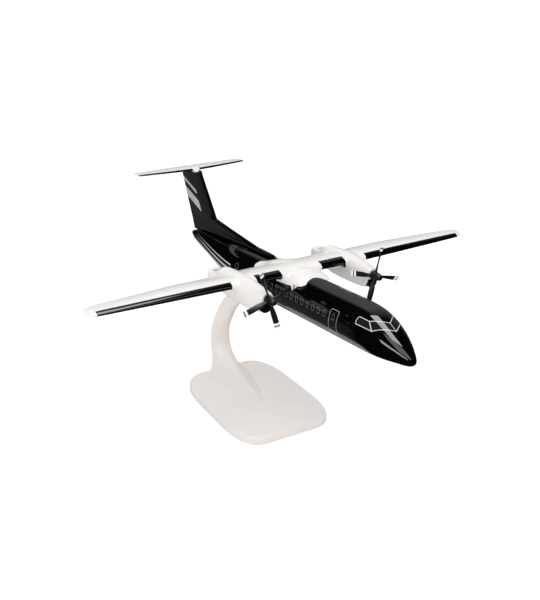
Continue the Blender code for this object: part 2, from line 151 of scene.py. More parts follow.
# Wing stations: distance out, leading edge swept back, trailing edge swept forward, thickness scale,
# leading edge dropped, trailing edge raised
WING_STATIONS = (
    (0.0, 0.0, 0.0, 1.0, 0.0, 0.65),
    (32.5, 0.0, 0.0, 1.0, 0.0, 0.65),
    (39.4, 0.0, 0.0, 1.0, 0.0, 0.0),
    (75.0, 2.2, 0.2, 0.97, 0.5, 0.5),
    (104.0, 3.9, 3.6, 0.93, 0.9, 0.92),
    (127.0, 5.3, 6.6, 0.9, 1.22, 1.25),
    (131.5, 5.9, 7.5, 0.88, 1.28, 1.32),
    (134.4, 7.1, 8.8, 0.8, 1.32, 1.36),
    (136.3, 8.9, 10.2, 0.66, 1.35, 1.39),
    (137.2, 10.6, 11.6, 0.45, 1.36, 1.4),
)

# Wing saddle over the fuselage: distance aft, lower edge height, half width, rise
SADDLE_SECTIONS = (
    (92.0, 11.0, 9.9, 0.8),
    (92.7, 10.6, 10.7, 1.7),
    (94.4, 10.3, 11.5, 3.2),
    (95.6, 10.1, 12.1, 3.8),
    (97.4, 9.9, 12.8, 4.7),
    (100.5, 9.6, 13.4, 5.6),
    (106.0, 9.3, 13.8, 6.7),
    (116.0, 9.0, 14.0, 7.6),
    (130.0, 8.8, 13.8, 7.1),
    (136.0, 8.6, 13.4, 5.9),
    (139.0, 8.6, 12.9, 5.05),
    (143.0, 8.7, 12.1, 4.25),
    (145.6, 9.2, 11.1, 3.4),
    (146.4, 9.8, 10.3, 2.5),
)

# Tailplane stations: distance out, leading edge, trailing edge, thickness scale
TAIL_STATIONS = (
    (0.0, 240.6, 257.6, 1.0),
    (14.0, 241.9, 257.3, 1.0),
    (38.0, 245.2, 256.6, 1.0),
    (41.2, 245.9, 256.2, 0.95),
    (42.2, 247.2, 255.6, 0.8),
    (42.8, 249.4, 254.0, 0.55),
)
# Fairing at the top of the fin: distance aft, centre height, half width, half height
BULLET_SECTIONS = (
    (238.0, 53.4, 0.4, 0.4),
    (239.0, 53.4, 1.0, 1.0),
    (241.0, 53.5, 1.5, 1.6),
    (246.0, 53.6, 1.6, 1.7),
    (255.5, 53.9, 1.2, 1.3),
    (259.0, 54.0, 0.4, 0.5),
)

# Fin sections: height, leading edge, trailing edge, thickness; the last two are its raised front corner
FIN_SECTIONS = (
    (10.0, 138.6, 247.6, 2.4),
    (14.8, 136.9, 249.4, 3.0),
    (15.9, 137.0, 249.7, 2.9),
    (16.3, 138.4, 249.8, 2.8),
    (16.7, 155.6, 249.9, 2.4),
    (18.3, 169.4, 250.7, 2.4),
    (21.5, 195.2, 252.0, 2.5),
    (24.0, 213.3, 253.0, 2.6),
    (38.0, 222.5, 258.7, 2.3),
    (52.7, 232.3, 264.5, 2.0),
    (52.8, 232.4, 237.6, 1.9),
    (54.4, 233.7, 237.3, 1.4),
)

# Arm sections from the foot up: height above the base, middle along Y, forward reach, rear reach,
# half width, lean forward in degrees, and how pointed the forward end is
ARM_SECTIONS = (
    (0.0, 43.5, 52.6, 4.2, 14.0, 0.0, 1.0),
    (0.9, 43.8, 49.0, 4.2, 13.0, 0.0, 1.0),
    (2.2, 44.4, 42.5, 4.4, 11.4, 0.0, 1.0),
    (4.2, 45.3, 34.0, 4.6, 9.8, 0.0, 0.95),
    (6.8, 46.7, 25.0, 4.8, 8.6, 0.0, 0.8),
    (10.2, 48.1, 16.0, 4.9, 7.8, 0.0, 0.5),
    (14.2, 49.7, 9.8, 4.9, 7.4, -2.0, 0.2),
    (19.0, 51.1, 6.6, 4.9, 7.3, -4.0, 0.0),
    (25.0, 51.4, 5.2, 4.9, 7.2, 2.0, 0.0),
    (33.0, 50.2, 4.9, 4.9, 7.0, 10.0, 0.0),
    (41.0, 46.8, 4.9, 4.9, 6.9, 20.0, 0.0),
    (49.0, 42.3, 4.9, 4.9, 6.8, 28.0, 0.0),
    (57.0, 36.4, 4.9, 4.9, 6.8, 35.0, 0.0),
    (65.0, 28.9, 5.4, 5.0, 6.8, 38.0, 0.1),
    (71.0, 22.3, 8.0, 5.6, 6.9, 26.0, 0.4),
    (74.6, 18.2, 15.0, 7.0, 7.0, 8.0, 0.7),
    (76.4, 15.8, 28.0, 9.0, 7.1, -4.0, 0.9),
    (77.6, 14.8, 40.0, 11.0, 7.2, -6.0, 1.0),
    (79.2, 14.4, 48.5, 13.0, 7.4, -6.0, 1.0),
    (83.4, 14.4, 51.0, 14.0, 7.8, -6.0, 1.0),
)

# Blade sections: distance from the hub's middle, chord, thickness, pitch in degrees
BLADE_SECTIONS = (
    (1.9, 2.2, 1.5, 66.0),
    (4.0, 2.6, 1.3, 62.0),
    (7.0, 3.3, 1.0, 52.0),
    (11.5, 3.5, 0.8, 38.0),
    (16.5, 3.6, 0.7, 24.0),
    (18.5, 3.4, 0.6, 20.0),
    (19.1, 3.0, 0.5, 19.0),
)
# Spinner and the plate behind the blades: distance aft, radius
SPINNER_PROFILE = ((78.0, 0.5), (78.3, 1.2), (79.0, 1.8), (80.2, 2.2), (82.0, 2.45), (84.8, 2.6),
                   (84.9, 2.75), (85.8, 2.85))

# Exhaust and intake pockets of a nacelle: middle of the mouth, half size, depth and tilt about X
EXHAUST = {"x": 39.1, "y": 144.9, "z": 12.8, "half_size": (2.6, 3.0), "depth": 1.6,
           "tilt": math.radians(-6.0)}
INTAKE = {"x": 38.3, "y": 87.0, "z": 4.55, "half_size": (3.5, 3.0), "depth": 3.0,
          "tilt": math.radians(100.0)}
POCKET_GAP = 0.3
POCKET_SIDES = 40

# Moulded shell of wing, nacelles and saddle
VOXEL = 0.45
SNAP_REACH = 0.6
FILLET_REACH = 4.0
FILLET_LEAST = 0.02                 # a smaller push is left out
FILLET_PASSES = 10
SHELL_SHARE = 0.6                   # of the remeshed faces that are kept
STUB_FROM = 137.0                   # aft of this a nacelle keeps its sharp edges

# Plastics: colour
BLACK = (0.0012, 0.0012, 0.0013)
WHITE = (0.80, 0.78, 0.755)
IVORY = (0.79, 0.745, 0.715)
PROPELLER_BLACK = (0.008, 0.008, 0.009)
# painted shade: near black floor of the exhaust and intake pockets, for the dark inside of each opening
OPENING_SHADE = (0.004, 0.004, 0.004)
MOTTLE_SCALE = 0.05                 # patches of colour to the millimetre
MOTTLE_SHADE = 0.93                 # brightness of the darker patches
SHEEN_SCALE = 0.12                  # patches of sheen to the millimetre
SHEEN_LEAST = 0.8                   # roughness of the smoothest patches, as a share
SHEEN_RANGE = 0.35                  # and how much rougher the others are

# Paints: colour and roughness
BOOT_BLACK = (BLACK, 0.1)
# painted shade under the spinner, on the white nacelle
UNDER_HUB_SHADE = (BLACK, 0.3)
SILVER = ((0.40, 0.40, 0.405), 0.28)
LINE = ((0.09, 0.09, 0.092), 0.3)
DOOR_LINE = ((0.30, 0.30, 0.305), 0.3)
# painted highlight: a thin grey line along the right wing's boots
BOOT_HIGHLIGHT = ((0.12, 0.12, 0.122), 0.3)
FRAME = ((0.60, 0.60, 0.605), 0.25)
GLASS = ((0.012, 0.012, 0.013), 0.05)
TIP_WHITE = ((0.8, 0.79, 0.77), 0.35)

# Printed outlines on the fuselage's sides
PAINT_EDGE = 0.12                   # width over which one paint turns into the next
SIDE_FROM = 8.0                     # distance out, so that the crown and the belly stay plain
WINDOW_FIRST_Y = 65.5
WINDOW_PITCH = 5.65
WINDOW_COUNT = 16
WINDOW_Z = 2.9
WINDOW_HALF = (1.15, 1.75)
WINDOW_ROUND = 0.9
WINDOW_LINE = 0.22                  # half width of a printed line
FINE_LINE = 0.2
REAR_WINDOW = (165.4, 4.7, 1.75)    # aft, up and radius
DOOR = (56.9, 0.3)                  # middle, aft and up
DOOR_HALF = (3.7, 6.9)
DOOR_ROUND = 0.9
DOOR_EDGE = 0.16
DOOR_LEAN = 0.12
# Each in the door: aft of its middle, height, half length, half height and corner
DOOR_WINDOW = (0.0, 3.2, 1.0, 1.7, 0.8)
DOOR_HANDLE = (-0.4, -3.0, 0.7, 0.25, 0.2)

# Windscreen panes of one side: corners as distance out, aft and up, and the way the pane faces
WINDSCREEN = (
    (((0.0, 22.1, 7.7), (8.0, 29.9, 7.9), (9.85, 25.6, 4.0), (0.0, 16.7, 4.7)),
     (0.4, -0.27, 0.87)),
    (((8.0, 29.9, 7.9), (9.2, 37.0, 8.8), (10.0, 37.5, 8.1), (11.3, 37.7, 6.2), (11.9, 37.3, 5.2),
      (9.85, 25.6, 4.0)),
     (0.78, -0.1, 0.62)),
)
PANE_SOFTNESS = 0.1
FRAME_HALF = 0.2
FRAME_TO_Y = 39.5
FRAME_FROM_Z = 2.0

# Each sweep along the rear fuselage: its height at SWEEP_FROM, how fast it climbs and its half width there
SWEEPS = ((-4.6, 0.15, 1.7), (0.0, 0.12, 0.95), (3.4, 0.09, 0.55))
SWEEP_FROM = 172.0
SWEEP_LENGTH = 66.0
SWEEP_FRONT = 1.0                   # how far aft of SWEEP_FROM its front end is, at its middle
SWEEP_SLANT = 0.5                   # of the front end, aft for each millimetre up
FIN_BANDS = ((31.5, 3.0), (39.3, 1.1))      # height and half width of each band on the fin
FIN_BAND_Y = 244.0                  # where that height is taken
FIN_BAND_CLIMB = 0.35
FIN_BAND_FRONT_Y = 233.5            # front end of a band, at the height of FIN_FOOT_Z
FIN_BAND_SLANT = 0.5
FIN_FOOT_Z = 24.0
RUDDER_HINGE_Y = 243.5              # at the height of FIN_FOOT_Z
RUDDER_HINGE_SLANT = 0.43
RUDDER_HINGE_Z = (18.0, 52.4)       # from and to
RUDDER_HINGE_HALF = 0.12
RUDDER_HINGE_DEPTH = 0.25

# Boots, a painted highlight line and grooves of the wing
INNER_BOOT = (14.5, 32.3, 4.8)      # from and to, distance out, and how far back
OUTER_BOOT = (48.8, 131.0, 3.0)
BOOT_AHEAD = 0.5                    # how far ahead of the leading edge a boot may reach
BOOT_REACH = 3.4                    # and how far above and below it
SWEPT_FROM = 39.4                   # distance out at which the leading edge starts to sweep and droop
WING_SWEEP = 0.0606
WING_DROOP = 0.0139
HIGHLIGHT_HEIGHT = 0.55                  # of the painted highlight line, above the leading edge
HIGHLIGHT_LEVEL_FROM = 60.0              # distance out from which it keeps that height
HIGHLIGHT_FALL = 0.012                   # how fast it falls inboard of that
HIGHLIGHT_HALF = 0.07
HIGHLIGHT_FROM = 14.6
HUB_SHADE_HALF = 3.9                  # painted shade: black on the nacelle's white front between the hub and the chin intake, under the spinner
HUB_SHADE_TO_Y = 88.2
HUB_SHADE_TO_Z = 7.9
FLAP_HINGE_Y = 124.6
FLAP_TAPER_FROM = 75.0              # distance out from which the hinge line comes forward
FLAP_TAPER = 0.12
FLAP_ENDS = (46.0, 74.5, 104.5, 131.0)
FLAP_CUTS_FROM_Y = 123.0
FLAP_GROOVES_FROM_Z = 12.5
GROOVE_HALF = 0.1
GROOVE_EDGE = 0.2
FLAP_HINGE_DEPTH = 0.16
CUT_DEPTH = 0.12

# Tailplane
TAIL_BOOT = (2.6, 41.6, 1.5)        # from and to, distance out, and how far back
ELEVATOR_HINGE_Y = 251.6
ELEVATOR_TO = 39.0

# Propeller tips: the white end, and a white ring inboard of a dark one
TIP_FROM = 17.7
TIP_RING = 16.2
TIP_RING_HALF = 0.75

# Studio
FLOOR_HALF = 4.0
FLOOR_WHITE = (0.93, 0.93, 0.93, 1.0)
FLOOR_GLOW = 0.15
PURE_WHITE = (1.0, 1.0, 1.0, 1.0)
# Soft panels: name, place, aim, size, brightness to the eye, and whether matt surfaces catch them
PANELS = (
    ("key", (-0.5, -0.6, 1.3), (0.0, 0.0, 0.1), (0.8, 0.8), 2.6, True),
    ("overhead", (0.03, 0.02, 1.25), (0.0, -0.1, 0.1), (0.46, 0.76), 9.0, False),
    ("side", (-1.1, -0.42, 0.65), (0.0, -0.1, 0.1), (0.75, 0.27), 8.0, False),
)
# Reflected studio: a bright wall to the right and back, and its light on the ground
WALL_LEAST = 0.23                   # brightness at the horizon
WALL_RISE = 1.1                     # and how much is added towards the top
WALL_RIGHT = (1 / 120, 0.175)       # each from where it starts to where it is full
WALL_BACK = (0.3, 1.9 / 3)
WALL_UP = (-0.3, -0.2)
GROUND_DOWN = (-2.2 / 12, -3.2 / 12)
GROUND_BACK = (0.6, 0.725)
GROUND_GLOW = 0.14
DARK_GLOW = 0.008                   # everywhere else
AMBIENT_LEVEL = 0.76                # light on matt surfaces, at the horizon
AMBIENT_RISE = 0.46
AMBIENT_LOWEST = -0.5


def natural_spline(rows, count):
    """Rows at even steps on a smooth curve through a table's rows."""
    points = np.array(rows, dtype=float)
    gaps = np.linalg.norm(np.diff(points, axis=0), axis=1)
    at = np.concatenate(([0.0], np.cumsum(gaps)))
    size = len(points)
    system = np.eye(size)
    right = np.zeros_like(points)
    for i in range(1, size - 1):
        before, after = gaps[i - 1], gaps[i]
        system[i, i - 1:i + 2] = (before, 2.0 * (before + after), after)
        right[i] = 6.0 * ((points[i + 1] - points[i]) / after - (points[i] - points[i - 1]) / before)
    bend = np.linalg.solve(system, right)
    result = []
    for value in np.linspace(0.0, at[-1], count):
        i = min(int(np.searchsorted(at, value, side="right")) - 1, size - 2)
        near, far, gap = at[i + 1] - value, value - at[i], gaps[i]
        row = (bend[i] * near ** 3 + bend[i + 1] * far ** 3) / (6.0 * gap)
        row += (points[i] / gap - bend[i] * gap / 6.0) * near
        row += (points[i + 1] / gap - bend[i + 1] * gap / 6.0) * far
        result.append(tuple(row))
    return result


def straight_rows(rows, step):
    """A table's rows with more between them, on straight lines, no further apart than step."""
    result = [tuple(rows[0])]
    for near, far in zip(rows, rows[1:]):
        near, far = np.array(near), np.array(far)
        parts = max(1, math.ceil(float(np.linalg.norm(far - near)) / step))
        result += [tuple(near + (far - near) * k / parts) for k in range(1, parts + 1)]
    return result


def wrapped(rings, place):
    """A closed skin through rings of points, in millimetres of the frame that place brings to the floor's."""
    bm = bmesh.new()
    sides = len(rings[0])
    spans = len(rings) - 1
    bmesh.ops.create_grid(bm, x_segments=sides, y_segments=spans, size=0.5)
    for vert in bm.verts:
        side = round((vert.co.x + 0.5) * sides) % sides
        row = round((vert.co.y + 0.5) * spans)
        vert.co = rings[row][side]
    bmesh.ops.remove_doubles(bm, verts=bm.verts, dist=WELD)
    bmesh.ops.holes_fill(bm, edges=bm.edges, sides=0)
    bmesh.ops.triangulate(bm, faces=[face for face in bm.faces if len(face.verts) > 4])
    bmesh.ops.recalc_face_normals(bm, faces=bm.faces)
    bmesh.ops.transform(bm, matrix=place @ Matrix.Scale(MM, 4), verts=bm.verts)
    return bm


def joined(parts):
    """One mesh of several, which may overlap."""
    bm = bmesh.new()
    for part in parts:
        mesh = bpy.data.meshes.new("part")
        part.to_mesh(mesh)
        part.free()
        bm.from_mesh(mesh)
        bpy.data.meshes.remove(mesh)
    return bm


def piece(name, bm, material, body="root", sharp=40.0):
    mesh = bpy.data.meshes.new(name)
    bm.to_mesh(mesh)
    bm.free()
    mesh.materials.append(material)
    mesh.shade_smooth()
    mesh.set_sharp_from_angle(angle=math.radians(sharp))
    obj = bpy.data.objects.new(name, mesh)
    bpy.context.scene.collection.objects.link(obj)
    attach(obj, body)
    return obj


def finished_mesh(bm, modifiers):
    """The mesh that bm gives once the modifiers have run, each given as a kind and its settings."""
    mesh = bpy.data.meshes.new("working")
    bm.to_mesh(mesh)
    bm.free()
    obj = bpy.data.objects.new("working", mesh)
    bpy.context.scene.collection.objects.link(obj)
    for kind, settings in modifiers:
        modifier = obj.modifiers.new(kind, kind)
        for key, value in settings.items():
            setattr(modifier, key, value)
    graph = bpy.context.evaluated_depsgraph_get()
    result = bmesh.new()
    result.from_object(obj, graph)
    bpy.data.objects.remove(obj, do_unlink=True)
    bpy.data.meshes.remove(mesh)
    return result


def oval(y, z, half_width, half_height, sides, x=0.0, power=1.0):
    """A ring about x. A power below 1 fills out its corners."""
    ring = []
    for i in range(sides):
        a = 2.0 * math.pi * i / sides
        across = math.copysign(half_width * abs(math.sin(a)) ** power, math.sin(a))
        up = math.copysign(half_height * abs(math.cos(a)) ** power, math.cos(a))
        ring.append(Vector((x + across, y, z + up)))
    return ring


def aerofoil(chord, thickness, camber=0.0):
    """Outline of a blunt moulded aerofoil from its leading edge, as along and up pairs."""
    upper = []
    lower = []
    for i in range(AEROFOIL_STEPS + 1):
        u = 0.5 - 0.5 * math.cos(math.pi * i / AEROFOIL_STEPS)
        powers = (math.sqrt(u), u, u ** 2, u ** 3, u ** 4)
        half = 5.0 * thickness * chord * sum(factor * power for factor, power in zip(AEROFOIL_CURVE, powers))
        rise = camber * chord * math.sin(math.pi * u)
        upper.append((u * chord, rise + half))
        lower.append((u * chord, rise - half))
    return upper + list(reversed(lower[1:]))


def mirrored(stations):
    return [(-row[0], *row[1:]) for row in reversed(stations[1:])] + list(stations)


def main_wing():
    rings = []
    for out, back, forward, scale, drop, rise in mirrored(straight_rows(WING_STATIONS, WING_STEP)):
        chord = WING_CHORD - back - forward
        front = WING_LEADING_Z - drop
        slope = (WING_TRAILING_Z + rise - front) / chord
        rings.append([Vector((out, WING_LEADING_Y + back + along, front + up + slope * along))
                      for along, up in aerofoil(chord, WING_THICKNESS * scale, WING_CAMBER)])
    return wrapped(rings, AIRFRAME)


def nacelle(side, from_y=0.0):
    """One nacelle, or only what lies aft of from_y."""
    table = [row for row in NACELLE_SECTIONS if row[0] >= from_y]
    rows = natural_spline(table, NACELLE_RINGS)
    return wrapped([oval(y, z, wide, high, NACELLE_SIDES, side * (NACELLE_X + shift), boxy)
                    for y, z, wide, high, boxy, shift in rows], AIRFRAME)


def saddle():
    rings = []
    for y, low, wide, rise in natural_spline(SADDLE_SECTIONS, SADDLE_RINGS):
        angles = [math.pi * (i / SADDLE_STEPS - 0.5) for i in range(SADDLE_STEPS + 1)]
        rings.append([Vector((wide * math.sin(a), y, low + rise * math.cos(a))) for a in angles])
    return wrapped(rings, AIRFRAME)


def combined(bm, tool, operation):
    """What the operation leaves of a closed mesh and another closed one."""
    mesh = bpy.data.meshes.new("tool")
    tool.to_mesh(mesh)
    tool.free()
    other = bpy.data.objects.new("tool", mesh)
    bpy.context.scene.collection.objects.link(other)
    result = finished_mesh(bm, [("BOOLEAN", {"operation": operation, "solver": "EXACT", "object": other})])
    bpy.data.objects.remove(other, do_unlink=True)
    bpy.data.meshes.remove(mesh)
    return result


def pocket(shape, side):
    """A plug a little larger than the dark one that closes an opening."""
    bm = bmesh.new()
    bmesh.ops.create_cone(bm, cap_ends=True, segments=POCKET_SIDES, radius1=1.0, radius2=1.0, depth=1.0)
    size = Vector((shape["half_size"][0] + POCKET_GAP, shape["half_size"][1] + POCKET_GAP,
                   shape["depth"] + 2.0 * POCKET_GAP))
    bmesh.ops.translate(bm, verts=bm.verts, vec=(0.0, 0.0, -0.5))
    bmesh.ops.scale(bm, verts=bm.verts, vec=size)
    bmesh.ops.translate(bm, verts=bm.verts, vec=(0.0, 0.0, POCKET_GAP))
    bmesh.ops.rotate(bm, verts=bm.verts, matrix=Matrix.Rotation(shape["tilt"], 3, "X"))
    bmesh.ops.translate(bm, verts=bm.verts, vec=(side * shape["x"], shape["y"], shape["z"]))
    bmesh.ops.transform(bm, matrix=AIRFRAME @ Matrix.Scale(MM, 4), verts=bm.verts)
    return bm


def shell():
    """Wing, nacelles and saddle as one moulding, with a fillet wherever two of them meet."""
    parts = [main_wing(), nacelle(-1), nacelle(1), saddle()]
    surfaces = [BVHTree.FromBMesh(part) for part in parts]
    bm = finished_mesh(joined(parts), [("REMESH", {"mode": "VOXEL", "voxel_size": VOXEL * MM})])
    reach = FILLET_REACH * MM
    filled = []
    for vert in bm.verts:
        found = []
        for surface in surfaces:
            place, normal, index, distance = surface.find_nearest(vert.co, 3.0 * reach)
            if place is not None:
                found.append((distance, place, normal))
        found.sort(key=lambda item: item[0])
        distance, place, normal = found[0]
        if distance < SNAP_REACH * MM:
            vert.co = place
        on_stub = vert.co.y > STUB_FROM * MM - NOSE_AHEAD
        if on_stub or len(found) < 2 or found[1][0] > reach:
            continue
        gap, other = found[1][0], found[1][2]
        turn = max(0.0, min(1.0, 1.0 - normal.dot(other)))
        push = turn * (reach - gap) ** 2 / (4.0 * reach)
        if push > FILLET_LEAST * MM:
            vert.co += (normal + other).normalized() * push
            filled.append(vert)
    for _ in range(FILLET_PASSES):
        bmesh.ops.smooth_vert(bm, verts=filled, factor=0.5, use_axis_x=True, use_axis_y=True, use_axis_z=True)
    bm = finished_mesh(bm, [("DECIMATE", {"ratio": SHELL_SHARE})])
    for side in (-1, 1):
        bm = combined(bm, nacelle(side, STUB_FROM), "UNION")
        for shape in (EXHAUST, INTAKE):
            bm = combined(bm, pocket(shape, side), "DIFFERENCE")
    return bm


def fuselage():
    rows = natural_spline(FUSELAGE_SECTIONS, BODY_RINGS)
    return wrapped([oval(*row, BODY_SIDES) for row in rows], AIRFRAME)


def fin():
    rings = []
    for z, leading, trailing, thickness in straight_rows(FIN_SECTIONS, FIN_STEP):
        chord = trailing - leading
        rings.append([Vector((up, leading + along, z)) for along, up in aerofoil(chord, thickness / chord)])
    return wrapped(rings, AIRFRAME)


def tailplane():
    rings = []
    for out, leading, trailing, scale in mirrored(straight_rows(TAIL_STATIONS, TAIL_STEP)):
        outline = aerofoil(trailing - leading, TAIL_THICKNESS * scale)
        rings.append([Vector((out, leading + along, TAIL_Z + up)) for along, up in outline])
    return wrapped(rings, AIRFRAME)


def bullet():
    rows = natural_spline(BULLET_SECTIONS, BULLET_RINGS)
    return wrapped([oval(*row, BULLET_SIDES) for row in rows], AIRFRAME)


def blade(turn):
    rings = []
    for radius, chord, thickness, pitch in natural_spline(BLADE_SECTIONS, BLADE_RINGS):
        pitch = math.radians(pitch)
        ring = []
        for i in range(BLADE_SIDES):
            a = 2.0 * math.pi * i / BLADE_SIDES
            along = chord / 2.0 * math.cos(a)
            across = thickness / 2.0 * math.sin(a)
            ring.append(turn @ Vector((along * math.cos(pitch) - across * math.sin(pitch),
                                       along * math.sin(pitch) + across * math.cos(pitch), radius)))
        rings.append(ring)
    return rings


def propeller(side):
    hub = Vector((side * NACELLE_X, PROP_Y, THRUST_Z))
    parts = [wrapped([oval(y, THRUST_Z, radius, radius, SPINNER_SIDES, side * NACELLE_X)
                      for y, radius in SPINNER_PROFILE], AIRFRAME)]
    for k in range(BLADES):
        turn = Matrix.Rotation(side * PROP_PHASE - 2.0 * math.pi * k / BLADES, 3, "Y")
        parts.append(wrapped([[hub + point for point in ring] for ring in blade(turn)], AIRFRAME))
    return joined(parts)


def base_outline(inset):
    corners = []
    for x_side, y_side, width in ((1, 1, BASE_REAR_WIDTH), (-1, 1, BASE_REAR_WIDTH),
                                  (-1, -1, BASE_FRONT_WIDTH), (1, -1, BASE_FRONT_WIDTH)):
        corners.append(Vector((x_side * (width / 2 - inset), y_side * (BASE_LENGTH / 2 - inset), 0.0)))
    points = []
    for i, corner in enumerate(corners):
        before, after = (BASE_CORNER_ALONG, BASE_CORNER_ACROSS) if i % 2 == 0 else (
            BASE_CORNER_ACROSS, BASE_CORNER_ALONG)
        start = corner + (corners[i - 1] - corner).normalized() * before
        end = corner + (corners[(i + 1) % 4] - corner).normalized() * after
        for k in range(BASE_CORNER_STEPS + 1):
            t = k / BASE_CORNER_STEPS
            points.append(start * (1 - t) ** 2 + corner * 2 * t * (1 - t) + end * t ** 2)
    return points


def stand_base():
    levels = []
    for k in range(ROUND_STEPS + 1):
        a = 0.5 * math.pi * k / ROUND_STEPS
        levels.append((BASE_FOOT_ROUND * (1.0 - math.sin(a)), BASE_FOOT_ROUND * (1.0 - math.cos(a))))
    for k in range(ROUND_STEPS + 1):
        a = 0.5 * math.pi * k / ROUND_STEPS
        levels.append((BASE_TOP_ROUND * (1.0 - math.cos(a)),
                       BASE_THICKNESS - BASE_TOP_ROUND * (1.0 - math.sin(a))))
    rings = []
    for inset, height in levels:
        rings.append([point + Vector((0.0, 0.0, height)) for point in base_outline(inset)])
    return wrapped(rings, FLOOR)


def stand_arm():
    rings = []
    for height, y, ahead, behind, half_width, lean, pointed in natural_spline(ARM_SECTIONS, ARM_RINGS):
        lean = math.radians(lean)
        ring = []
        for i in range(ARM_SIDES):
            a = 2.0 * math.pi * i / ARM_SIDES
            forward = math.cos(a)
            reach = ahead if forward > 0.0 else behind
            roundness = 0.5 + ARM_POINT * pointed * (forward > 0.0)
            across = math.copysign(half_width * max(0.0, 1.0 - forward ** 2) ** roundness, math.sin(a))
            along = -forward * reach
            ring.append(Vector((across, y + along * math.cos(lean),
                                BASE_THICKNESS + height + along * math.sin(lean))))
        rings.append(ring)
    return wrapped(rings, FLOOR)


class Field:
    """A number that varies over a surface. Sums with it become nodes of its material."""

    def __init__(self, tree, socket):
        self.tree = tree
        self.socket = socket

    def calc(self, operation, *others, clamp=False):
        node = self.tree.nodes.new("ShaderNodeMath")
        node.operation = operation
        node.use_clamp = clamp
        for socket, value in zip(node.inputs, (self, *others)):
            feed(self.tree, socket, value)
        return Field(self.tree, node.outputs[0])

    def __add__(self, other):
        return self.calc("ADD", other)

    def __sub__(self, other):
        return self.calc("SUBTRACT", other)

    def __mul__(self, other):
        return self.calc("MULTIPLY", other)

    def __truediv__(self, other):
        return self.calc("DIVIDE", other)

    def size(self):
        return self.calc("ABSOLUTE")

    def most(self, other):
        return self.calc("MAXIMUM", other)

    def least(self, other):
        return self.calc("MINIMUM", other)

    def squared(self):
        return self.calc("POWER", 2.0)

    def ramp(self, start, end):
        """0 on the near side of start, 1 beyond end, and straight between them."""
        return ((self - start) / (end - start)).most(0.0).least(1.0)

    def inside(self, edge=PAINT_EDGE):
        """1 where the field is below zero, 0 where it is above."""
        return self.calc("MULTIPLY_ADD", -1.0 / edge, 0.5, clamp=True)

    def below(self, limit):
        """1 where the field is below the limit."""
        return (self - limit).inside()

    def above(self, limit):
        """1 where the field is above the limit."""
        return (self * -1.0 + limit).inside()

    def line(self, half, edge=PAINT_EDGE):
        """1 within half of where the field is zero."""
        return (self.size() - half).inside(edge)


def feed(tree, socket, value):
    if isinstance(value, Field):
        tree.links.new(value.socket, socket)
    else:
        socket.default_value = value


def either(*masks):
    result = masks[0]
    for mask in masks[1:]:
        result = result.most(mask)
    return result


